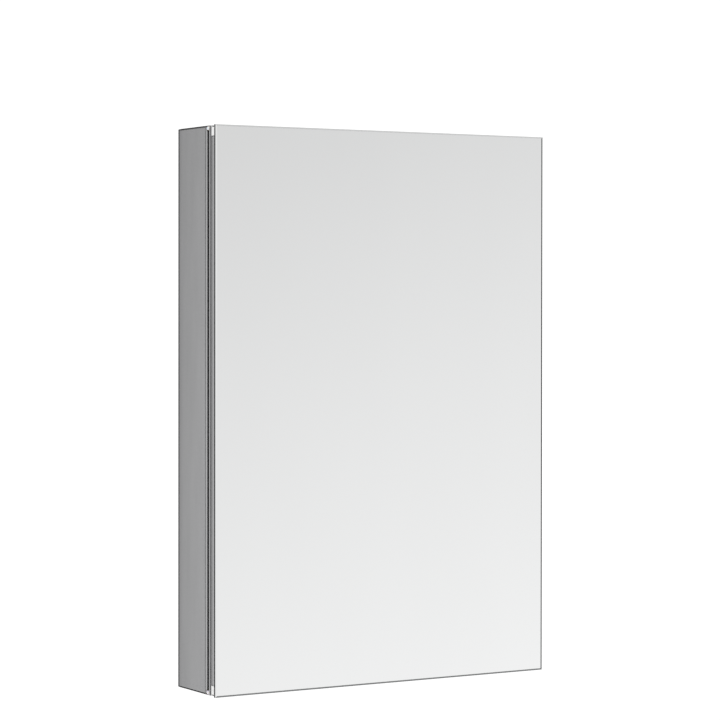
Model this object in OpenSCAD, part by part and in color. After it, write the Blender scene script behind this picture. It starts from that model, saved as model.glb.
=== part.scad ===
// Wall-hung medicine cabinet: an aluminium case with three glass shelves and a
// mirrored door in an aluminium frame that swings on two corner pivot hinges.
// The origin is the centre of the back face. +X is to the right as you face the
// door, +Y points into the wall and +Z is up. All sizes are in millimetres.

/* [Overall] */
// Width of the mirror glass
door_w = 527; // [470:1:620]
// Height of the mirror glass
door_h = 762; // [762:1:860]
// Depth of the case from the wall to its front edge
case_d = 86.4; // [85.4:0.5:110.4]

/* [Door] */
// Thickness of the front mirror
glass_t = 4; // [3:0.5:6]
// Width of the ground bevel round the front mirror
bevel_w = 2.2; // [0.6:0.1:4]
// Gap between the case and the closed door
door_gap = 4.3; // [4.3:0.1:5]
// How far the case and the door frame sit inside the edge of the glass
reveal = 0.3; // [0.2:0.1:1]

/* [Shelves] */
// Thickness of a glass shelf
shelf_t = 6; // [4:0.5:8]
// Holes between one shelf and the next
shelf_step = 6; // [5:1:7]
// Distance between the holes in a shelf track
hole_pitch = 32; // [32:1:34]

/* [Hidden] */
$fn = 48;

// Case
case_w = door_w - 2 * reveal;
case_h = door_h - 2 * reveal;
wall_t = 1.8;
corner_r = 3;
back_t = 1.2;
flange_w = 12;
flange_lip_t = 1.4;
flange_lip_d = 6.5;
rear_flange_t = 2;
rear_rebate_w = 4.2;
rear_rebate_d = 0.4;
groove_front = 4.8;
groove_w = 1.5;
groove_d = 0.6;
bracket_leg = 24;
bracket_t = 2;
bracket_l = 60;

// Inside of the case
screw_x = 406.4;
screw_z = 660;
screw_hole_r = 3.25;
mirror_hole_r = 7;
inner_mirror_t = 3;
tape_t = 0.8;
rivet_r = 2;
rivet_in = 6;

// Shelf tracks and shelves
track_t = 3;
track_w = 14;
track_h = 20 * hole_pitch;
front_track_y = 17.5 - case_d;
rear_track_y = -20;
peg_hole_r = 2.5;
peg_r = 2.4;
peg_rise = 2.6;
shelf_gap = 1.7;
shelf_front = 9.5 - case_d;
shelf_back = -12;
shelf_z = shelf_step * hole_pitch;

// Door frame, measured inwards from its outer face and forwards from its back
frame_in = 0.4;
frame_corner_r = 0.8;
frame_w = case_w - 2 * frame_in;
frame_h = case_h - 2 * frame_in;
frame_d = 15;
web_t = 2.2;
back_flange_w = 10;
back_flange_t = 1.6;
rib_back = 4.7;
rib_t = 1.2;
front_flange_w = 14;
front_flange_t = 1.6;
recess_back = 3.1;
recess_front = 11.1;
recess_d = 1;
frame_back_y = -(case_d + door_gap);
frame_front_y = frame_back_y - frame_d;
glass_back_y = frame_front_y - tape_t;
glass_front_y = glass_back_y - glass_t;
block_back = 6.7;
block_size = 14;
block_gap = 1;
tongue_w = 7;
tongue_l = 12;

// Hinges, measured inwards and forwards from the case's front edge
pivot_in = 6;
pivot_front = door_gap + 9.7;
pivot_r = 2;
pivot_bore_r = 2.05;
arm_t = 2;
arm_r = 4.8;
arm_outer = 3.4;
arm_top = 0.7;
pocket_depth = 3.2;
pocket_in = 11.6;
leaf_h = 44;
washer_t = 0.4;

// Catch
catch_z = 3 * hole_pitch;

ALUMINIUM = "silver";
STEEL = "lightgray";
WHITE = "white";
MIRROR = "gainsboro";

// ---- Helpers ----

// Draws its child against the left wall and mirrors it for the right wall
module against_side(right) {
    mirror([right, 0, 0]) translate([-case_w / 2, 0, 0]) children();
}

// Round bar along +X from the origin
module bar_x(r, l) {
    rotate([0, 90, 0]) cylinder(r = r, h = l);
}

// Round bar along Y from y_back forwards to y_front
module bar_y(r, y_back, y_front) {
    translate([0, y_back, 0]) rotate([90, 0, 0]) cylinder(r = r, h = y_back - y_front);
}

// Sheet standing in the XZ plane from y_back forwards to y_front
module sheet(w, h, y_back, y_front) {
    translate([-w / 2, y_front, -h / 2]) cube([w, y_back - y_front, h]);
}

// Countersunk screw pointing down, with the face of its head at the origin
module sunk_screw(l, r, head_r) {
    difference() {
        union() {
            translate([0, 0, -l]) cylinder(r = r, h = l);
            translate([0, 0, r - head_r]) cylinder(r1 = r, r2 = head_r, h = head_r - r);
        }
        for (a = [0, 90]) rotate([0, 0, a])
            translate([-head_r * 0.6, -0.35, -0.7]) cube([head_r * 1.2, 0.7, 1]);
    }
}

// Hole for a countersunk screw, a little larger than the screw
module sunk_hole(l, r, head_r) {
    c = 0.05;
    translate([0, 0, -l]) cylinder(r = r + c, h = l + 1);
    translate([0, 0, r - head_r]) cylinder(r1 = r + c, r2 = head_r + c, h = head_r - r);
    cylinder(r = head_r + c, h = 1);
}

// Wedge that mitres the ends of a left-hand member, for an outline w wide and h high
module left_mitre(w, h) {
    reach = 40;
    rotate([90, 0, 0]) linear_extrude(3 * case_d, center = true) polygon([
        [-w / 2 - 5, -h / 2 - 5],
        [-w / 2 - 5, h / 2 + 5],
        [-w / 2 + reach, h / 2 - reach],
        [-w / 2 + reach, -h / 2 + reach]
    ]);
}

// Block in the XZ plane with four rounded corners, deeper than any frame
module rounded_block(w, h, r) {
    rotate([90, 0, 0]) linear_extrude(3 * case_d, center = true) union() {
        square([w, h - 2 * r], center = true);
        square([w - 2 * r, h], center = true);
        for (sx = [-1, 1], sz = [-1, 1])
            translate([sx * (w / 2 - r), sz * (h / 2 - r)]) circle(r = r);
    }
}

// Left-hand and top members of a mitred frame, from a section drawn with x inwards
module left_member(w, h, r) {
    intersection() {
        translate([-w / 2, 0, 0]) linear_extrude(h, center = true) children();
        left_mitre(w, h);
        rounded_block(w, h, r);
    }
}

module top_member(w, h, r) {
    rotate([0, 90, 0]) left_member(h, w, r) children();
}

// ---- Case ----

module case_section() {
    difference() {
        union() {
            translate([0, -case_d]) square([wall_t, case_d]);
            translate([0, -case_d]) square([flange_w, wall_t]);
            translate([flange_w - flange_lip_t, -case_d]) square([flange_lip_t, flange_lip_d]);
            translate([0, -back_t - rear_flange_t]) square([flange_w, rear_flange_t]);
            translate([0, groove_front - 1 - case_d]) square([wall_t + 0.6, groove_w + 2]);
        }
        translate([-1, groove_front - case_d]) square([1 + groove_d, groove_w]);
        translate([-1, -rear_rebate_w]) square([1 + rear_rebate_d, rear_rebate_w + 1]);
    }
}

module rivet_places() {
    for (sx = [-1, 1], z = [-340, -113, 113, 340])
        translate([sx * (case_w / 2 - rivet_in), 0, z]) children();
    for (sz = [-1, 1], x = [-190, 0, 190])
        translate([x, 0, sz * (case_h / 2 - rivet_in)]) children();
}

// Screw places of the corner bracket in the top left corner, heads facing inwards
module bracket_screw_places() {
    for (y = [-60, -30]) {
        translate([wall_t + bracket_t, y, -15]) rotate([0, 90, 0]) children();
        translate([15, y, -wall_t - bracket_t]) rotate([180, 0, 0]) children();
    }
}

module case_corners() {
    for (mx = [0, 1], mz = [0, 1]) mirror([mx, 0, 0]) mirror([0, 0, mz])
        translate([-case_w / 2, 0, case_h / 2]) children();
}

module track_screw_places() {
    for (right = [0, 1], y = [front_track_y, rear_track_y], z = [-9.5, 0.5, 9.5])
        against_side(right) translate([wall_t + track_t, y, z * hole_pitch])
            rotate([0, 90, 0]) children();
}

// Soft stops at the two corners away from the hinges
module bumper_places() {
    for (mz = [0, 1]) mirror([0, 0, mz])
        translate([-case_w / 2, -case_d, case_h / 2 - 4]) children();
}

module bumper_shape(half, back, front, l) {
    hull_r = half;
    translate([0, -front + hull_r, 0]) bar_x(hull_r, l);
    translate([0, -back - hull_r, 0]) bar_x(hull_r, l);
    translate([0, -front + hull_r, -hull_r]) cube([l, front - back - 2 * hull_r, 2 * hull_r]);
}

module hinge_screw_places() {
    for (mz = [0, 1]) mirror([0, 0, mz]) for (z = [12, 32])
        translate([case_w / 2 - 6.2, -case_d - arm_t, case_h / 2 - arm_top - z])
            rotate([90, 0, 0]) children();
}

// Holes and notches that any of the four case walls may carry
module case_wall_cuts() {
    rivet_places() bar_y(rivet_r + 0.02, 1, -5);
    case_corners() bracket_screw_places()
        translate([0, 0, -bracket_t - 1.2]) cylinder(r = 1.55, h = 3);
    track_screw_places() translate([0, 0, -track_t - 1.2]) cylinder(r = 1.55, h = 3);
    hinge_screw_places() translate([0, 0, -12]) cylinder(r = 1.65, h = 20);
    bumper_places() {
        translate([-1, -2, -3.8]) cube([11.1, 3.4, 6.8]);
        translate([6, 0, 0]) bar_y(1.55, 8, -2);
    }
}

module case_left_side() {
    color(ALUMINIUM) difference() {
        left_member(case_w, case_h, corner_r) case_section();
        case_wall_cuts();
    }
}

module case_right_side() {
    color(ALUMINIUM) difference() {
        mirror([1, 0, 0]) left_member(case_w, case_h, corner_r) case_section();
        case_wall_cuts();
    }
}

module case_top() {
    color(ALUMINIUM) difference() {
        top_member(case_w, case_h, corner_r) case_section();
        case_wall_cuts();
    }
}

module case_bottom() {
    color(ALUMINIUM) difference() {
        mirror([0, 0, 1]) top_member(case_w, case_h, corner_r) case_section();
        case_wall_cuts();
    }
}

module corner_brackets() {
    color(STEEL) case_corners() difference() {
        translate([wall_t, -15 - bracket_l, -wall_t - bracket_leg])
            cube([bracket_leg, bracket_l, bracket_leg]);
        translate([wall_t + bracket_t, -16 - bracket_l, -wall_t - bracket_leg - 1])
            cube([bracket_leg, bracket_l + 2, bracket_leg - bracket_t + 1]);
        bracket_screw_places() sunk_hole(6, 1.5, 2.9);
    }
}

module corner_bracket_screws() {
    color(STEEL) case_corners() bracket_screw_places() sunk_screw(3.1, 1.5, 2.9);
}

module wall_screw_places() {
    for (sx = [-1, 1], sz = [-1, 1])
        translate([sx * screw_x / 2, 0, sz * screw_z / 2]) children();
}

module back_panel() {
    color(STEEL) difference() {
        sheet(case_w - 5, case_h - 5, 0, -back_t);
        wall_screw_places() bar_y(screw_hole_r, 1, -5);
        rivet_places() bar_y(rivet_r + 0.02, 1, -5);
    }
}

module back_panel_rivets() {
    seat = -back_t - rear_flange_t;
    color(ALUMINIUM) rivet_places() {
        bar_y(rivet_r, 0, seat);
        bar_y(3.6, seat, seat - 1);
    }
}

module interior_mirror() {
    back = -back_t - tape_t;
    color(MIRROR) difference() {
        sheet(case_w - 2 * flange_w - 3, case_h - 2 * flange_w - 3, back, back - inner_mirror_t);
        wall_screw_places() bar_y(mirror_hole_r, 1, -20);
    }
}

// Double-sided tape that holds the inner mirror to the back panel
module interior_mirror_tape() {
    color("dimgray") for (x = [-150, 0, 150])
        translate([x - 12, -back_t - tape_t, -300]) cube([24, tape_t, 600]);
}

module wall_screw_grommets() {
    seat = -back_t - tape_t - inner_mirror_t;
    color(WHITE) wall_screw_places() difference() {
        union() {
            bar_y(mirror_hole_r - 0.1, -back_t, seat);
            bar_y(9, seat, seat - 1.2);
        }
        bar_y(screw_hole_r, 1, -20);
    }
}

// ---- Shelf tracks and shelves ----

module track(right, y) {
    color(ALUMINIUM) difference() {
        against_side(right) translate([wall_t, y - track_w / 2, -track_h / 2])
            cube([track_t, track_w, track_h]);
        against_side(right) for (i = [-9:9])
            translate([0, y, i * hole_pitch]) bar_x(peg_hole_r, 20);
        track_screw_places() sunk_hole(6, 1.5, 2.9);
    }
}

module left_front_track() { track(0, front_track_y); }

module left_rear_track() { track(0, rear_track_y); }

module right_front_track() { track(1, front_track_y); }

module right_rear_track() { track(1, rear_track_y); }

module track_screws() {
    color(STEEL) track_screw_places() sunk_screw(4.1, 1.5, 2.9);
}

module shelf_peg() {
    seat = wall_t + track_t;
    translate([wall_t + 0.1, 0, 0]) bar_x(peg_r, track_t - 0.1);
    translate([seat, 0, 0]) bar_x(4, 1.2);
    translate([seat + 1, -4.5, peg_rise - 1.6]) cube([10, 9, 1.6]);
    translate([seat + 1, -0.8, peg_rise - 5]) cube([7, 1.6, 4]);
}

module shelf_pegs(z) {
    color(STEEL) for (right = [0, 1], y = [front_track_y, rear_track_y])
        against_side(right) translate([0, y, z]) shelf_peg();
}

module glass_shelf(z) {
    w = case_w - 2 * (wall_t + track_t + shelf_gap);
    d = shelf_back - shelf_front;
    r = 6;
    color("paleturquoise") translate([0, (shelf_back + shelf_front) / 2, z + peg_rise])
        linear_extrude(shelf_t) union() {
            square([w, d - 2 * r], center = true);
            square([w - 2 * r, d], center = true);
            for (sx = [-1, 1], sy = [-1, 1])
                translate([sx * (w / 2 - r), sy * (d / 2 - r)]) circle(r = r);
        }
}

module upper_shelf() { glass_shelf(shelf_z); }

module middle_shelf() { glass_shelf(0); }

module lower_shelf() { glass_shelf(-shelf_z); }

module upper_shelf_pegs() { shelf_pegs(shelf_z); }

module middle_shelf_pegs() { shelf_pegs(0); }

module lower_shelf_pegs() { shelf_pegs(-shelf_z); }

// ---- Hinges and door stops on the case ----

// Hinge plan: x inwards and y forwards from the front edge at the top right corner
module hinge_plan(low) {
    mirror([0, 0, low]) translate([case_w / 2, -case_d, case_h / 2])
        rotate([0, 0, 180]) children();
}

module hinge_bracket(low) {
    color(STEEL) difference() {
        hinge_plan(low) {
            translate([1, 0, -arm_top - leaf_h]) cube([10.5, arm_t, leaf_h]);
            translate([arm_outer, 0, -arm_top - arm_t])
                cube([pivot_in + arm_r - arm_outer, pivot_front, arm_t]);
            translate([pivot_in, pivot_front, -arm_top - arm_t]) cylinder(r = arm_r, h = arm_t);
        }
        hinge_plan(low) translate([pivot_in, pivot_front, -10])
            cylinder(r = pivot_r + 0.02, h = 20);
        hinge_screw_places() sunk_hole(6, 1.6, 3);
    }
}

module upper_hinge_bracket() { hinge_bracket(0); }

module lower_hinge_bracket() { hinge_bracket(1); }

module pivot_pin(low) {
    color(STEEL) hinge_plan(low) translate([pivot_in, pivot_front, 0]) {
        translate([0, 0, -13.5]) cylinder(r = pivot_r, h = 13.5 - arm_top);
        translate([0, 0, -arm_top]) cylinder(r = 3.4, h = 0.6);
    }
}

module upper_pivot_pin() { pivot_pin(0); }

module lower_pivot_pin() { pivot_pin(1); }

module hinge_washers() {
    color(WHITE) for (low = [0, 1]) hinge_plan(low)
        translate([pivot_in, pivot_front, -arm_top - arm_t - 0.05 - washer_t]) difference() {
            cylinder(r = 4.2, h = washer_t);
            translate([0, 0, -1]) cylinder(r = pivot_r + 0.05, h = 3);
        }
}

module hinge_bracket_screws() {
    color(STEEL) hinge_screw_places() sunk_screw(9, 1.6, 3);
}

module door_bumpers() {
    color(WHITE) bumper_places() {
        bumper_shape(2.5, -1.3, 4.05, 10);
        translate([6, 0, 0]) bar_y(1.5, 4.2, 0);
        translate([6, 0, 0]) bar_y(2.1, 3.6, wall_t);
    }
}

// ---- Catch ----

module catch_screw_places() {
    for (z = [-hole_pitch, hole_pitch]) against_side(0)
        translate([wall_t + track_t + 2, front_track_y, catch_z + z])
            rotate([0, 90, 0]) children();
}

module catch_body() {
    seat = wall_t + track_t;
    color(WHITE) difference() {
        against_side(0) {
            translate([seat, front_track_y - 5, catch_z - 38]) cube([2, 12, 76]);
            translate([seat, 7 - case_d, catch_z - 17]) cube([24.5 - seat, 17, 34]);
            translate([12.8, -case_d - 3.2, catch_z - 14]) cube([11.7, 12, 28]);
        }
        against_side(0) translate([15.1, -case_d - 4, catch_z - 10]) cube([7.1, 9, 20]);
        catch_screw_places() sunk_hole(12, 2.2, 3.4);
    }
}

module catch_magnet() {
    color("dimgray") against_side(0)
        translate([15.2, -case_d - 3.4, catch_z - 9.9]) cube([6.9, 8.3, 19.8]);
}

module catch_screws() {
    color(STEEL) catch_screw_places() sunk_screw(4.9, 2.2, 3.4);
}

// ---- Door ----

module glass_outline(w) {
    polygon([
        [-w / 2, glass_back_y],
        [w / 2, glass_back_y],
        [w / 2, glass_front_y + bevel_w / 4],
        [w / 2 - bevel_w, glass_front_y],
        [-w / 2 + bevel_w, glass_front_y],
        [-w / 2, glass_front_y + bevel_w / 4]
    ]);
}

module front_mirror() {
    color(MIRROR) intersection() {
        linear_extrude(door_h, center = true) glass_outline(door_w);
        rotate([0, 90, 0]) linear_extrude(door_w, center = true) glass_outline(door_h);
    }
}

// Frame of double-sided tape between the profiles and the front mirror
module mirror_tape() {
    color("dimgray") difference() {
        sheet(frame_w - 9, frame_h - 9, frame_front_y, glass_back_y);
        sheet(frame_w - 25, frame_h - 25, frame_front_y + 1, glass_back_y - 1);
    }
}

module door_section() {
    translate([0, frame_back_y]) mirror([0, 1]) difference() {
        union() {
            square([web_t, frame_d]);
            square([back_flange_w, back_flange_t]);
            translate([0, rib_back]) square([back_flange_w, rib_t]);
            translate([0, frame_d - front_flange_t]) square([front_flange_w, front_flange_t]);
        }
        translate([-1, recess_back]) square([1 + recess_d, recess_front - recess_back]);
    }
}

module door_corners() {
    for (mx = [0, 1], mz = [0, 1]) mirror([mx, 0, 0]) mirror([0, 0, mz])
        translate([-frame_w / 2, frame_back_y, frame_h / 2]) children();
}

// Room for the corner blocks in the front half of the profiles, and for the hinge
// arms at the two right-hand corners
module door_frame_cuts() {
    door_corners() translate([-1, -frame_d - 1, -block_size - block_gap])
        cube([block_size + block_gap + 1, frame_d + 1 - block_back, block_size + block_gap + 1]);
    for (low = [0, 1]) hinge_plan(low) translate([-1, door_gap - 1, -pocket_depth])
        cube([pocket_in + 1, frame_d + 2, pocket_depth + 1]);
}

module door_left_stile() {
    color(ALUMINIUM) difference() {
        left_member(frame_w, frame_h, frame_corner_r) door_section();
        door_frame_cuts();
    }
}

module door_right_stile() {
    color(ALUMINIUM) difference() {
        mirror([1, 0, 0]) left_member(frame_w, frame_h, frame_corner_r) door_section();
        door_frame_cuts();
    }
}

module door_top_rail() {
    color(ALUMINIUM) difference() {
        top_member(frame_w, frame_h, frame_corner_r) door_section();
        door_frame_cuts();
    }
}

module door_bottom_rail() {
    color(ALUMINIUM) difference() {
        mirror([0, 0, 1]) top_member(frame_w, frame_h, frame_corner_r) door_section();
        door_frame_cuts();
    }
}

// Corner block with a tongue along each profile: x inwards, -z inwards, -y forwards
module corner_block(top_in) {
    tongue_t = frame_d - front_flange_t - block_back - 0.2;
    reach = block_size + tongue_l;
    translate([0, -frame_d, -block_size]) cube([block_size, frame_d - block_back, block_size - top_in]);
    translate([web_t + 0.3, -block_back - tongue_t, -reach]) cube([tongue_w, tongue_t, reach - 5]);
    translate([5, -block_back - tongue_t, -web_t - 0.3 - tongue_w - top_in])
        cube([reach - 5, tongue_t, tongue_w]);
}

module door_corner_blocks() {
    color(WHITE) for (mz = [0, 1]) mirror([0, 0, mz])
        translate([-frame_w / 2, frame_back_y, frame_h / 2]) difference() {
            corner_block(0.6);
            translate([-1, 1.4 - frame_d, -2.4]) cube([2.2, 5.4, 3]);
        }
}

module pivot_block(low) {
    color(WHITE) difference() {
        mirror([1, 0, 0]) mirror([0, 0, low])
            translate([-frame_w / 2, frame_back_y, frame_h / 2])
                corner_block(pocket_depth - frame_in);
        hinge_plan(low) translate([pivot_in, pivot_front, -20])
            cylinder(r = pivot_bore_r, h = 30);
    }
}

module upper_pivot_block() { pivot_block(0); }

module lower_pivot_block() { pivot_block(1); }

// Rigid board that fills the door between the two mirrors
module door_core() {
    w = frame_w - 2 * (web_t + 0.2);
    h = frame_h - 2 * (pocket_depth + 0.2);
    inner = 2 * (front_flange_w + 0.5);
    reach = block_size + tongue_l + 0.4;
    width = web_t + tongue_w + pocket_depth + 0.4;
    color("whitesmoke") difference() {
        union() {
            sheet(w, h, frame_back_y - rib_back - rib_t, frame_front_y + front_flange_t);
            sheet(frame_w - inner, frame_h - inner, frame_back_y - rib_back, frame_front_y);
        }
        door_corners() translate([-1, -frame_d - 1, 1]) mirror([0, 0, 1]) {
            cube([block_size + 1.4, frame_d + 1, block_size + 1.4]);
            cube([width + 1, frame_d + 1, reach + 1]);
            cube([reach + 1, frame_d + 1, width + 1]);
        }
    }
}

module back_mirror() {
    back = frame_back_y - back_flange_t;
    color(MIRROR) sheet(frame_w - 5, frame_h - 2 * pocket_depth, back, back - inner_mirror_t);
}

module catch_keeper() {
    back = frame_back_y - back_flange_t;
    color(STEEL) against_side(0)
        translate([12.5, back, catch_z - 16]) cube([13, back_flange_t + 0.8, 32]);
}

// ---- Nodes ----

case_left_side();
case_right_side();
case_top();
case_bottom();
corner_brackets();
corner_bracket_screws();
back_panel();
back_panel_rivets();
interior_mirror();
interior_mirror_tape();
wall_screw_grommets();
left_front_track();
left_rear_track();
right_front_track();
right_rear_track();
track_screws();
upper_shelf();
middle_shelf();
lower_shelf();
upper_shelf_pegs();
middle_shelf_pegs();
lower_shelf_pegs();
upper_hinge_bracket();
lower_hinge_bracket();
upper_pivot_pin();
lower_pivot_pin();
hinge_washers();
hinge_bracket_screws();
door_bumpers();
catch_body();
catch_magnet();
catch_screws();
front_mirror();
mirror_tape();
door_left_stile();
door_right_stile();
door_top_rail();
door_bottom_rail();
door_corner_blocks();
upper_pivot_block();
lower_pivot_block();
door_core();
back_mirror();
catch_keeper();
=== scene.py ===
import math

import bmesh
import bpy
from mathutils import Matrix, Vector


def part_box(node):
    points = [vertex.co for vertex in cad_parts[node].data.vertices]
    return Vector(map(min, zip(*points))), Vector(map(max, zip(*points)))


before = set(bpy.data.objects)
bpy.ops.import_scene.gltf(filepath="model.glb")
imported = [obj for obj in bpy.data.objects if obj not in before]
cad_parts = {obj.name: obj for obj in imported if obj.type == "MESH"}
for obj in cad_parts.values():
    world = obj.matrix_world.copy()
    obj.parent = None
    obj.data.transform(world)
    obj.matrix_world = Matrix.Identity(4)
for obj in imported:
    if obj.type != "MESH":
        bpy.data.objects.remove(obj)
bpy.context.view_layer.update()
mm = 0.001

# ---- Places read from the frame ----

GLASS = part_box("front_mirror")
CASE_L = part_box("case_left_side")
CASE_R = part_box("case_right_side")
CASE_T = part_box("case_top")
CASE_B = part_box("case_bottom")
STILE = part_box("door_left_stile")
CASE_FRONT = CASE_L[0].y
CASE_DEPTH = -CASE_FRONT


# ---- Node helpers ----

def new_material(name):
    material = bpy.data.materials.new(name)
    material.use_nodes = True
    nodes = material.node_tree.nodes
    return material, nodes, material.node_tree.links, nodes["Principled BSDF"]


def coordinates(nodes, links, scale=(1, 1, 1)):
    """Places on the piece in metres, squeezed or stretched by a scale on each axis."""
    coords = nodes.new("ShaderNodeTexCoord")
    mapping = nodes.new("ShaderNodeMapping")
    mapping.inputs["Scale"].default_value = scale
    links.new(coords.outputs["Object"], mapping.inputs["Vector"])
    return mapping.outputs["Vector"]


def noise(nodes, links, vector, scale, detail=3.0):
    tex = nodes.new("ShaderNodeTexNoise")
    tex.inputs["Scale"].default_value = scale
    tex.inputs["Detail"].default_value = detail
    tex.inputs["Roughness"].default_value = 0.55
    links.new(vector, tex.inputs["Vector"])
    return tex.outputs["Fac"]


def feed(links, socket, value):
    """Sets a socket to a number, or links another node's output to it."""
    if isinstance(value, (int, float)):
        socket.default_value = value
    else:
        links.new(value, socket)


def calculated(nodes, links, operation, *values):
    node = nodes.new("ShaderNodeMath")
    node.operation = operation
    for socket, value in zip(node.inputs, values):
        feed(links, socket, value)
    return node.outputs[0]


def to_range(nodes, links, value, low, high, from_low=0.3, from_high=0.7, smooth=False):
    ranged = nodes.new("ShaderNodeMapRange")
    ranged.interpolation_type = "SMOOTHSTEP" if smooth else "LINEAR"
    ranged.inputs["From Min"].default_value = from_low
    ranged.inputs["From Max"].default_value = from_high
    ranged.inputs["To Min"].default_value = low
    ranged.inputs["To Max"].default_value = high
    links.new(value, ranged.inputs["Value"])
    return ranged.outputs["Result"]


def two_tone(nodes, links, value, dark, light, from_low=0.3, from_high=0.7):
    ramp = nodes.new("ShaderNodeValToRGB")
    ramp.color_ramp.elements[0].position = from_low
    ramp.color_ramp.elements[0].color = (*dark, 1)
    ramp.color_ramp.elements[1].position = from_high
    ramp.color_ramp.elements[1].color = (*light, 1)
    links.new(value, ramp.inputs["Fac"])
    return ramp.outputs["Color"]


def grey_ramp(nodes, links, value, stops):
    """A grey that follows (position from 0 to 1, level) stops."""
    ramp = nodes.new("ShaderNodeValToRGB")
    points = ramp.color_ramp.elements
    while len(points) < len(stops):
        points.new(0.5)
    for point, (position, level) in zip(points, stops):
        point.position = position
        point.color = (level, level, level, 1)
    links.new(value, ramp.inputs["Fac"])
    return ramp.outputs["Color"]


def bumped(nodes, links, height, strength, distance, shader):
    bump = nodes.new("ShaderNodeBump")
    bump.inputs["Strength"].default_value = strength
    bump.inputs["Distance"].default_value = distance
    links.new(height, bump.inputs["Height"])
    links.new(bump.outputs["Normal"], shader.inputs["Normal"])


def with_painted_shade(nodes, links, tone, stops):
    """Paints shade into a tone: multiplies it by (depth from the wall, brightness) stops."""
    depth = stops[-1][0]
    coords = nodes.new("ShaderNodeTexCoord")
    axes = nodes.new("ShaderNodeSeparateXYZ")
    links.new(coords.outputs["Object"], axes.inputs[0])
    share = to_range(nodes, links, axes.outputs["Y"], 0.0, 1.0, 0.0, -depth)
    painted_shade = grey_ramp(nodes, links, share, [(place / depth, level) for place, level in stops])
    product = nodes.new("ShaderNodeVectorMath")
    product.operation = "MULTIPLY"
    links.new(tone, product.inputs[0])
    links.new(painted_shade, product.inputs[1])
    return product.outputs[0]


# ---- Materials ----

def brushed_aluminium(name, dark, light, along, rough=(0.3, 0.42), painted_shade=None):
    """Anodised aluminium with fine brush lines that run along one axis. Painted shade is given
    as a list of (depth from the wall, brightness) stops: the colour is painted darker towards
    the wall."""
    material, nodes, links, shader = new_material(name)
    shader.inputs["Metallic"].default_value = 1.0
    line_scale = [1.0, 1.0, 1.0]
    line_scale[along] = 0.02
    lines = noise(nodes, links, coordinates(nodes, links, line_scale), 2600, detail=2.0)
    broad_scale = [1.0, 1.0, 1.0]
    broad_scale[along] = 0.12
    broad = noise(nodes, links, coordinates(nodes, links, broad_scale), 60)
    broad_part = calculated(nodes, links, "MULTIPLY", broad, 0.45)
    grain = calculated(nodes, links, "MULTIPLY_ADD", lines, 0.55, broad_part)
    tone = two_tone(nodes, links, grain, dark, light, 0.36, 0.64)
    if painted_shade:
        tone = with_painted_shade(nodes, links, tone, painted_shade)
    links.new(tone, shader.inputs["Base Color"])
    links.new(to_range(nodes, links, lines, *rough), shader.inputs["Roughness"])
    bumped(nodes, links, lines, 0.12, 0.03 * mm, shader)
    return material


def mirror_glass(name, tint):
    """Silvered glass: a clean reflection with the faintest haze."""
    material, nodes, links, shader = new_material(name)
    shader.inputs["Metallic"].default_value = 1.0
    haze = noise(nodes, links, coordinates(nodes, links, (1, 1, 0.3)), 6, detail=2.0)
    light_tint = [level * 1.012 for level in tint]
    links.new(two_tone(nodes, links, haze, tint, light_tint), shader.inputs["Base Color"])
    links.new(to_range(nodes, links, haze, 0.012, 0.02), shader.inputs["Roughness"])
    return material


def ground_edge(name, dark, light, rough):
    """Ground glass edge with the silvering showing through it."""
    material, nodes, links, shader = new_material(name)
    grind = noise(nodes, links, coordinates(nodes, links), 900, detail=4.0)
    links.new(two_tone(nodes, links, grind, dark, light), shader.inputs["Base Color"])
    links.new(to_range(nodes, links, grind, *rough), shader.inputs["Roughness"])
    shader.inputs["Specular IOR Level"].default_value = 0.2
    bumped(nodes, links, grind, 0.2, 0.04 * mm, shader)
    return material


def plain_metal(name, dark, light, rough, grain=400, bump=0.1):
    """Plated or milled metal with a slight cloudy variation."""
    material, nodes, links, shader = new_material(name)
    shader.inputs["Metallic"].default_value = 1.0
    cloud = noise(nodes, links, coordinates(nodes, links), grain, detail=4.0)
    links.new(two_tone(nodes, links, cloud, dark, light), shader.inputs["Base Color"])
    links.new(to_range(nodes, links, cloud, *rough), shader.inputs["Roughness"])
    bumped(nodes, links, cloud, bump, 0.04 * mm, shader)
    return material


def moulded_plastic(name, dark, light, rough, grain=1400, bump=0.15, subsurface=0.0):
    """Moulded plastic with a fine spark-eroded texture."""
    material, nodes, links, shader = new_material(name)
    cloud = noise(nodes, links, coordinates(nodes, links), 45)
    fine = noise(nodes, links, coordinates(nodes, links), grain)
    links.new(two_tone(nodes, links, cloud, dark, light), shader.inputs["Base Color"])
    links.new(to_range(nodes, links, fine, *rough), shader.inputs["Roughness"])
    shader.inputs["Subsurface Weight"].default_value = subsurface
    shader.inputs["Subsurface Scale"].default_value = 2 * mm
    bumped(nodes, links, fine, bump, 0.03 * mm, shader)
    return material


def clear_glass(name):
    """Clear tempered shelf glass with a faint green body colour."""
    material, nodes, links, shader = new_material(name)
    shader.inputs["Transmission Weight"].default_value = 1.0
    shader.inputs["IOR"].default_value = 1.5
    cloud = noise(nodes, links, coordinates(nodes, links), 3, detail=1.0)
    links.new(two_tone(nodes, links, cloud, (0.93, 0.975, 0.96), (0.95, 0.985, 0.975)),
              shader.inputs["Base Color"])
    links.new(to_range(nodes, links, cloud, 0.0, 0.015), shader.inputs["Roughness"])
    return material


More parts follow.
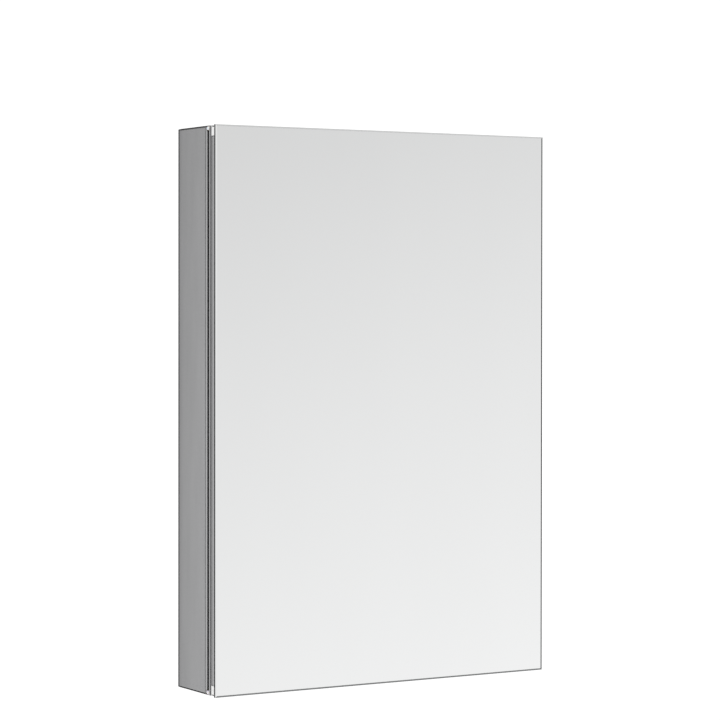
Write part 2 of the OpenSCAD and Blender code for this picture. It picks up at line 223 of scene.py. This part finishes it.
def galvanised_sheet(name):
    """Zinc-coated sheet with its crystal pattern."""
    material, nodes, links, shader = new_material(name)
    shader.inputs["Metallic"].default_value = 1.0
    crystals = nodes.new("ShaderNodeTexVoronoi")
    crystals.inputs["Scale"].default_value = 110
    crystals.inputs["Randomness"].default_value = 1.0
    links.new(coordinates(nodes, links), crystals.inputs["Vector"])
    split = nodes.new("ShaderNodeSeparateColor")
    links.new(crystals.outputs["Color"], split.inputs["Color"])
    links.new(two_tone(nodes, links, split.outputs["Red"], (0.42, 0.43, 0.44),
                       (0.56, 0.57, 0.58), 0.0, 1.0), shader.inputs["Base Color"])
    links.new(to_range(nodes, links, split.outputs["Green"], 0.34, 0.5, 0.0, 1.0),
              shader.inputs["Roughness"])
    bumped(nodes, links, split.outputs["Blue"], 0.05, 0.05 * mm, shader)
    return material


# ---- Finishes ----

ACROSS, UPRIGHT = 0, 2  # axis that the brush lines follow
# Painted shade: the case aluminium is darkened towards the wall, standing in for how the light
# falls on the sides
WALL_SIDE_PAINTED_SHADE = [(0.0, 0.72), (6 * mm, 0.74), (14 * mm, 0.86), (CASE_DEPTH, 1.0)]
CASE_GREY = ((0.345, 0.345, 0.35), (0.385, 0.385, 0.39))
# Painted highlight: the lip in front of the groove gets a lighter copy of the case aluminium
LIP_GREY_PAINTED_HIGHLIGHT = ((0.39, 0.39, 0.395), (0.43, 0.43, 0.435))
PROFILE_GREY = ((0.38, 0.38, 0.385), (0.42, 0.42, 0.425))
# Painted shade: the floor of the profile's recess gets a darker copy of the door profile
# aluminium
RECESS_GREY_PAINTED_SHADE = ((0.29, 0.29, 0.295), (0.32, 0.32, 0.325))
TRACK_GREY = ((0.55, 0.55, 0.56), (0.62, 0.62, 0.63))

SIDE_ALUMINIUM = brushed_aluminium("case aluminium, upright", *CASE_GREY, UPRIGHT,
                                   painted_shade=WALL_SIDE_PAINTED_SHADE)
TOP_ALUMINIUM = brushed_aluminium("case aluminium, across", *CASE_GREY, ACROSS,
                                  painted_shade=WALL_SIDE_PAINTED_SHADE)
SIDE_LIP_PAINTED_HIGHLIGHT = brushed_aluminium("case lip, painted highlight, upright", *LIP_GREY_PAINTED_HIGHLIGHT, UPRIGHT)
TOP_LIP_PAINTED_HIGHLIGHT = brushed_aluminium("case lip, painted highlight, across", *LIP_GREY_PAINTED_HIGHLIGHT, ACROSS)
STILE_ALUMINIUM = brushed_aluminium("door profile aluminium, upright", *PROFILE_GREY, UPRIGHT)
RAIL_ALUMINIUM = brushed_aluminium("door profile aluminium, across", *PROFILE_GREY, ACROSS)
STILE_RECESS_PAINTED_SHADE = brushed_aluminium("door profile recess, painted shade, upright", *RECESS_GREY_PAINTED_SHADE, UPRIGHT)
RAIL_RECESS_PAINTED_SHADE = brushed_aluminium("door profile recess, painted shade, across", *RECESS_GREY_PAINTED_SHADE, ACROSS)
TRACK_ALUMINIUM = brushed_aluminium("track aluminium", *TRACK_GREY, UPRIGHT)

# Painted shade: a near-black finish on the rear rebate and the notch for the stop
REBATE_PAINTED_SHADE = plain_metal("rear rebate and notch, painted shade", (0.035, 0.035, 0.037), (0.05, 0.05, 0.052), (0.45, 0.6))
# Painted shade: dark metal on the rounded case corners, darker still on the lower ones, where
# the underside of the cabinet is in shade
CORNER_PAINTED_SHADE = plain_metal("painted shade, rounded case corner", (0.10, 0.10, 0.102), (0.13, 0.13, 0.132), (0.3, 0.4))
LOW_CORNER_PAINTED_SHADE = plain_metal("painted shade, rounded case corner, below", (0.012, 0.012, 0.013),
                         (0.02, 0.02, 0.021), (0.5, 0.6))
PLATED = plain_metal("zinc plated steel", (0.55, 0.56, 0.57), (0.66, 0.67, 0.68), (0.28, 0.4))
NICKEL = plain_metal("bright nickel", (0.68, 0.67, 0.65), (0.74, 0.73, 0.71), (0.12, 0.2),
                     grain=600, bump=0.05)

MIRROR = mirror_glass("silvered mirror", (0.93, 0.935, 0.935))
LEFT_BEVEL = mirror_glass("ground and polished bevel", (0.86, 0.865, 0.865))
# Painted shade: the top, bottom and right bevels are dimmed copies of the mirror, lightest on
# top and darkest on the right
TOP_BEVEL_PAINTED_SHADE_LIGHT = plain_metal("ground bevel, top, light painted shade", (0.70, 0.705, 0.705), (0.78, 0.785, 0.785),
                        (0.12, 0.2))
LOW_BEVEL_PAINTED_SHADE = plain_metal("ground bevel, bottom, painted shade", (0.2, 0.205, 0.205), (0.28, 0.285, 0.285),
                        (0.2, 0.3))
RIGHT_BEVEL_PAINTED_SHADE_DEEP = plain_metal("ground bevel, shaded", (0.02, 0.021, 0.021), (0.035, 0.037, 0.037),
                          (0.2, 0.3))
GLASS_EDGE = ground_edge("ground mirror edge", (0.012, 0.014, 0.014), (0.022, 0.025, 0.025),
                         (0.4, 0.6))
MIRROR_BACK = moulded_plastic("mirror backing paint", (0.22, 0.23, 0.24), (0.26, 0.27, 0.28),
                              (0.45, 0.6))

WHITE = moulded_plastic("white moulded plastic", (0.90, 0.90, 0.895), (0.94, 0.94, 0.935),
                        (0.3, 0.42))
NYLON = moulded_plastic("natural nylon", (0.92, 0.92, 0.905), (0.95, 0.95, 0.94),
                        (0.4, 0.55), subsurface=0.2)
# Dark seam, also used as painted shade on the walls of the corner blocks' small rebate
SEAM_AND_PAINTED_SHADE = moulded_plastic("dark seam and painted rebate shade", (0.01, 0.01, 0.01), (0.02, 0.02, 0.02), (0.7, 0.8))
TAPE = moulded_plastic("foam tape", (0.03, 0.03, 0.032), (0.06, 0.06, 0.062), (0.8, 0.95),
                       grain=700, bump=0.5)
MAGNET = moulded_plastic("ferrite", (0.035, 0.033, 0.033), (0.06, 0.058, 0.057), (0.5, 0.7),
                         grain=900, bump=0.3)
BOARD = moulded_plastic("honeycomb board", (0.42, 0.34, 0.24), (0.52, 0.43, 0.31), (0.8, 0.95),
                        grain=300, bump=0.4)
SHELF_GLASS = clear_glass("shelf glass")
SHEET = galvanised_sheet("galvanised back sheet")

FINISHES = {
    SHEET: ["back_panel"],
    TRACK_ALUMINIUM: ["back_panel_rivets", "left_front_track", "left_rear_track",
                      "right_front_track", "right_rear_track"],
    SHELF_GLASS: ["upper_shelf", "middle_shelf", "lower_shelf"],
    PLATED: ["corner_brackets", "upper_hinge_bracket", "lower_hinge_bracket", "catch_keeper"],
    NICKEL: ["corner_bracket_screws", "track_screws", "upper_shelf_pegs", "middle_shelf_pegs",
             "lower_shelf_pegs", "upper_pivot_pin", "lower_pivot_pin", "hinge_bracket_screws",
             "catch_screws"],
    WHITE: ["catch_body", "upper_pivot_block", "lower_pivot_block"],
    NYLON: ["wall_screw_grommets", "hinge_washers", "door_bumpers"],
    TAPE: ["interior_mirror_tape", "mirror_tape"],
    MAGNET: ["catch_magnet"],
    BOARD: ["door_core"],
}


def finish(node, *materials):
    """Gives a CAD piece its materials, the first of them all over it."""
    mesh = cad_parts[node].data
    mesh.materials.clear()
    for material in materials:
        mesh.materials.append(material)


def finish_faces(node, choose, *materials):
    """Gives a CAD piece several finishes: choose(middle, normal) returns one's number."""
    finish(node, *materials)
    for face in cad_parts[node].data.polygons:
        face.material_index = choose(face.center, face.normal)


# ---- Finishes by face ----

SKIN = 1.2 * mm  # the outside of the case, its groove and its rebate lie within this
LIP_W = 5.5 * mm
REBATE_W = 5 * mm
NOTCH_W, NOTCH_H, NOTCH_D = 12 * mm, 9 * mm, 2 * mm  # room for a stop in the case front
NOTCH_FLOOR = 1 * mm
RECESS_FLOOR = (0.8 * mm, 1.7 * mm)
RECESS_BACK = 7 * mm
BLOCK_REBATE_FLOOR = (1 * mm, 1.4 * mm)
BLOCK_REBATE_W = 0.8 * mm
BLOCK_SEAM = (2.2 * mm, 2.8 * mm)


def inward(middle):
    """How far a place is inside the outline of the case, from the nearest side."""
    return min(middle.x - CASE_L[0].x, CASE_R[1].x - middle.x,
               middle.z - CASE_B[0].z, CASE_T[1].z - middle.z)


def glass_side(middle, normal):
    """Front, bevel at the left, top, bottom and right, edge, back."""
    if normal.y < -0.99:
        return 0
    if normal.y > 0.5:
        return 6
    if normal.y > -0.5:
        return 5
    leanings = (-normal.x, normal.z, -normal.z, normal.x)
    return 1 + leanings.index(max(leanings))


def case_side(middle, normal):
    """Main face, lip in front of the groove (painted highlight), rebate or notch (painted
    shade), corner above, below (painted shade).
    """
    faces_out = abs(normal.y) < 0.5
    if inward(middle) < SKIN and faces_out:
        # rounded corners: painted shade, deeper on the lower ones
        if abs(normal.x) > 0.15 and abs(normal.z) > 0.15:
            return 3 if normal.z > 0 else 4
        # lip in front of the groove: painted highlight
        if middle.y < CASE_FRONT + LIP_W:
            return 1
        # rear rebate: painted shade
        if middle.y > -REBATE_W:
            return 2
    # walls and back of the notch for the stop: painted shade
    near_stop = abs(middle.z) > CASE_T[1].z - NOTCH_H and middle.x < CASE_L[0].x + NOTCH_W
    if near_stop and middle.y < CASE_FRONT + NOTCH_D:
        wall = faces_out and inward(middle) > NOTCH_FLOOR
        back = normal.y < -0.9 and middle.y > CASE_FRONT + NOTCH_FLOOR
        if wall or back:
            return 2
    return 0


def profile_side(middle, normal):
    """Main faces, floor of the recess (painted darker as shade)."""
    floor = RECESS_FLOOR[0] < inward(middle) < RECESS_FLOOR[1] and abs(normal.y) < 0.5
    return 1 if floor and middle.y < CASE_FRONT - RECESS_BACK else 0


def block_side(middle, normal):
    """White body, painted shade on the walls of the small rebate in its outer corner, dark walls
    of the seam.
    """
    place = middle.x - STILE[0].x
    if normal.x < -0.9:
        in_rebate = BLOCK_REBATE_FLOOR[0] < place < BLOCK_REBATE_FLOOR[1]
        in_seam = BLOCK_SEAM[0] < place < BLOCK_SEAM[1]
        return 1 if in_rebate or in_seam else 0
    return 1 if place < BLOCK_REBATE_W else 0


for material, names in FINISHES.items():
    for name in names:
        finish(name, material)
# the top, bottom and right bevels of the front mirror take painted shade
finish_faces("front_mirror", glass_side, MIRROR, LEFT_BEVEL, TOP_BEVEL_PAINTED_SHADE_LIGHT, LOW_BEVEL_PAINTED_SHADE, RIGHT_BEVEL_PAINTED_SHADE_DEEP,
             GLASS_EDGE, MIRROR_BACK)
ALL_EDGES = (GLASS_EDGE,) * 5
finish_faces("back_mirror", glass_side, MIRROR_BACK, *ALL_EDGES, MIRROR)
finish_faces("interior_mirror", glass_side, MIRROR, *ALL_EDGES, MIRROR_BACK)
for name in ("case_left_side", "case_right_side"):
    finish_faces(name, case_side, SIDE_ALUMINIUM, SIDE_LIP_PAINTED_HIGHLIGHT, REBATE_PAINTED_SHADE, CORNER_PAINTED_SHADE, LOW_CORNER_PAINTED_SHADE)
for name in ("case_top", "case_bottom"):
    finish_faces(name, case_side, TOP_ALUMINIUM, TOP_LIP_PAINTED_HIGHLIGHT, REBATE_PAINTED_SHADE, CORNER_PAINTED_SHADE, LOW_CORNER_PAINTED_SHADE)
for name in ("door_left_stile", "door_right_stile"):
    finish_faces(name, profile_side, STILE_ALUMINIUM, STILE_RECESS_PAINTED_SHADE)
for name in ("door_top_rail", "door_bottom_rail"):
    finish_faces(name, profile_side, RAIL_ALUMINIUM, RAIL_RECESS_PAINTED_SHADE)
finish_faces("door_corner_blocks", block_side, WHITE, SEAM_AND_PAINTED_SHADE)


# ---- Softened edges ----

# Width of the rounding in millimetres, and the pieces that have it
SOFT_EDGES = {
    0.2: ["door_left_stile", "door_right_stile", "door_top_rail", "door_bottom_rail",
          "door_corner_blocks", "upper_pivot_pin", "lower_pivot_pin", "upper_shelf_pegs",
          "middle_shelf_pegs", "lower_shelf_pegs"],
    0.3: ["case_left_side", "case_right_side", "case_top", "case_bottom", "corner_brackets",
          "upper_hinge_bracket", "lower_hinge_bracket"],
    0.4: ["left_front_track", "left_rear_track", "right_front_track", "right_rear_track",
          "wall_screw_grommets", "back_panel_rivets"],
    0.5: ["upper_pivot_block", "lower_pivot_block", "catch_keeper", "door_bumpers"],
    0.6: ["upper_shelf", "middle_shelf", "lower_shelf"],
    0.8: ["catch_body"],
}


def soften(node, width, segments=2):
    """Rounds a CAD piece's sharp edges a little, so that they catch the light."""
    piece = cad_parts[node]
    weld = piece.modifiers.new("join", "WELD")
    weld.merge_threshold = 0.01 * mm
    bevel = piece.modifiers.new("edge", "BEVEL")
    bevel.width = width
    bevel.segments = segments
    bevel.limit_method = "ANGLE"
    bevel.angle_limit = math.radians(40)
    bevel.harden_normals = False


for width, names in SOFT_EDGES.items():
    for name in names:
        soften(name, width * mm)
for name in ("back_mirror", "interior_mirror"):
    soften(name, 0.4 * mm, segments=1)


# ---- Studio ----

# The studio is seen by direction: x is to the right, y is towards the wall and z is up,
# each from -1 to 1. A pair called _AT is where one part of it fades into the next.
# Brightness in front of the cabinet by height, as (z, level)
FRONT_LEVELS = [(-0.30, 1.04), (-0.142, 0.915), (-0.03, 0.82), (0.063, 0.728), (0.113, 0.70),
                (0.20, 0.85), (0.35, 0.85), (0.60, 0.70)]
FRONT_SCALE = 1.2  # keeps the levels of the ramp below 1
FRONT_SIDEWAYS, FRONT_SIDEWAYS_AT = (-0.02, 0.04), (0.45, 0.60)
RIGHT_LEVEL, RIGHT_AT = 1.0, (0.62, 0.70)
LEFT_AT = (0.25, 0.40)
LEFT_HEIGHTS = (-0.35, 0.35)
LEFT_NEAR = (1.02, 0.78)  # low and high, on the side of the room
LEFT_FAR = (1.15, 0.66)  # low and high, on the side of the wall
LEFT_FAR_AT = (0.0, 0.5)
CLOTH_SHADE = 0.9
CLOTH_SIDE_AT, CLOTH_WALL_AT, CLOTH_HEIGHT_AT = (0.16, 0.42), (0.3, 0.7), (0.12, 0.3)
OVERHEAD_LEVEL, OVERHEAD_AT = 1.7, (0.8, 0.9)
CAMERA_WHITE = 1.1
FLOOR_BELOW, FLOOR_RADIUS = 0.9, 2.4

CAMERA_PLACE = (-1.87042, -3.17591, 0.14586)
CAMERA_TURN = (89.41, -0.055, -30.842)
LENS, SENSOR = 130.25, 36
SHIFT = (-0.0003, -0.0439)


def blended(nodes, links, share, first, second):
    node = nodes.new("ShaderNodeMix")
    links.new(share, node.inputs["Factor"])
    feed(links, node.inputs["A"], first)
    feed(links, node.inputs["B"], second)
    return node.outputs["Result"]


def studio_levels(nodes, links):
    """Brightness by direction: bright to the left, right and overhead, graded in front, with
    two dark cloths far behind the cabinet, one high and one low."""
    coords = nodes.new("ShaderNodeTexCoord")
    axes = nodes.new("ShaderNodeSeparateXYZ")
    links.new(coords.outputs["Generated"], axes.inputs[0])
    x, y, z = axes.outputs

    def even(value, levels, places):
        return to_range(nodes, links, value, *levels, *places)

    def smooth(value, levels, places):
        return to_range(nodes, links, value, *levels, *places, smooth=True)

    def times(first, second):
        return calculated(nodes, links, "MULTIPLY", first, second)

    def magnitude(value):
        return calculated(nodes, links, "ABSOLUTE", value)

    rising, falling = (0.0, 1.0), (1.0, 0.0)
    stops = [((height + 1) / 2, level / FRONT_SCALE) for height, level in FRONT_LEVELS]
    by_height = times(grey_ramp(nodes, links, even(z, rising, (-1.0, 1.0)), stops), FRONT_SCALE)
    sideways = even(x, FRONT_SIDEWAYS, FRONT_SIDEWAYS_AT)
    front = calculated(nodes, links, "ADD", by_height, sideways)
    front = blended(nodes, links, smooth(x, rising, RIGHT_AT), front, RIGHT_LEVEL)
    left = blended(nodes, links, smooth(y, rising, LEFT_FAR_AT),
                   even(z, LEFT_NEAR, LEFT_HEIGHTS), even(z, LEFT_FAR, LEFT_HEIGHTS))
    level = blended(nodes, links, smooth(x, falling, LEFT_AT), front, left)
    cloth = times(smooth(magnitude(x), falling, CLOTH_SIDE_AT), smooth(y, rising, CLOTH_WALL_AT))
    cloth = times(cloth, smooth(magnitude(z), rising, CLOTH_HEIGHT_AT))
    passed = calculated(nodes, links, "SUBTRACT", 1.0, times(cloth, CLOTH_SHADE))
    return blended(nodes, links, smooth(z, rising, OVERHEAD_AT), times(level, passed),
                   OVERHEAD_LEVEL)


def studio_world():
    """A soft studio, which is plain white where the camera looks straight at it."""
    world = bpy.data.worlds.new("studio")
    bpy.context.scene.world = world
    world.use_nodes = True
    nodes, links = world.node_tree.nodes, world.node_tree.links
    nodes.clear()
    soft = nodes.new("ShaderNodeBackground")
    soft.inputs["Color"].default_value = (1, 1, 1, 1)
    links.new(studio_levels(nodes, links), soft.inputs["Strength"])
    white = nodes.new("ShaderNodeBackground")
    white.inputs["Color"].default_value = (1, 1, 1, 1)
    white.inputs["Strength"].default_value = CAMERA_WHITE
    path = nodes.new("ShaderNodeLightPath")
    mix = nodes.new("ShaderNodeMixShader")
    links.new(path.outputs["Is Camera Ray"], mix.inputs[0])
    links.new(soft.outputs[0], mix.inputs[1])
    links.new(white.outputs[0], mix.inputs[2])
    out = nodes.new("ShaderNodeOutputWorld")
    links.new(mix.outputs[0], out.inputs["Surface"])


def studio_floor():
    """A plain pale floor well below the hanging cabinet."""
    mesh = bmesh.new()
    bmesh.ops.create_circle(mesh, cap_ends=True, segments=96, radius=FLOOR_RADIUS)
    bmesh.ops.translate(mesh, verts=mesh.verts, vec=(0, 0, GLASS[0].z - FLOOR_BELOW))
    data = bpy.data.meshes.new("floor")
    mesh.to_mesh(data)
    mesh.free()
    floor = bpy.data.objects.new("floor", data)
    bpy.context.scene.collection.objects.link(floor)
    material, nodes, links, shader = new_material("pale floor")
    grain = noise(nodes, links, coordinates(nodes, links), 30)
    links.new(two_tone(nodes, links, grain, (0.86, 0.86, 0.86), (0.88, 0.88, 0.88)),
              shader.inputs["Base Color"])
    shader.inputs["Roughness"].default_value = 0.9
    data.materials.append(material)


def camera():
    data = bpy.data.cameras.new("camera")
    data.lens = LENS
    data.sensor_width = SENSOR
    data.shift_x, data.shift_y = SHIFT
    data.clip_start, data.clip_end = 0.1, 100
    view = bpy.data.objects.new("camera", data)
    view.location = CAMERA_PLACE
    view.rotation_euler = [math.radians(angle) for angle in CAMERA_TURN]
    bpy.context.scene.collection.objects.link(view)
    bpy.context.scene.camera = view


studio_world()
studio_floor()
camera()
bpy.context.scene.view_settings.view_transform = "Standard"
